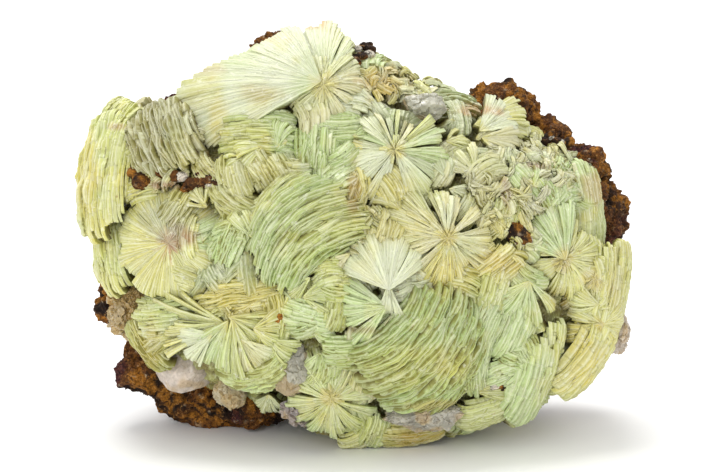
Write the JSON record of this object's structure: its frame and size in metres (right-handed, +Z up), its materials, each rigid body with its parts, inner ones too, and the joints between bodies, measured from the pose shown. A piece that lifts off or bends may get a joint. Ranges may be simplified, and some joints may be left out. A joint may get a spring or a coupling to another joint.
{
  "type": "prehnite mineral specimen",
  "caption": "Freestanding mineral specimen: overlapping green rosettes and fans of platy crystals on rusty rock, quartz grains in the gaps; stands on its own base as a display piece.",
  "frame": {"origin": "middle of the bounding box on the ground it stands on", "axes": "+X to the right of the viewer, +Y away from the viewer, +Z up"},
  "size_m": [0.1397, 0.077, 0.1063],
  "materials": {
    "prehnite": "waxy to glassy plates, mint to olive green",
    "matrix": "rough iron-stained rock",
    "quartz_nodule": "glassy translucent quartz",
    "quartz_beige": "glassy translucent quartz",
    "quartz_druse": "glassy translucent quartz",
    "quartz_pocket": "glassy translucent quartz",
    "quartz_violet": "glassy translucent quartz",
    "quartz_lilac": "glassy translucent quartz",
    "quartz_top": "glassy translucent quartz",
    "quartz_right": "glassy translucent quartz"
  },
  "bodies": {
    "root": {"prehnite": "prehnite", "matrix": "matrix", "quartz_nodule": "quartz_nodule", "quartz_beige": "quartz_beige", "quartz_druse": "quartz_druse", "quartz_pocket": "quartz_pocket", "quartz_violet": "quartz_violet", "quartz_lilac": "quartz_lilac", "quartz_top": "quartz_top", "quartz_right": "quartz_right"}
  },
  "joints": []
}
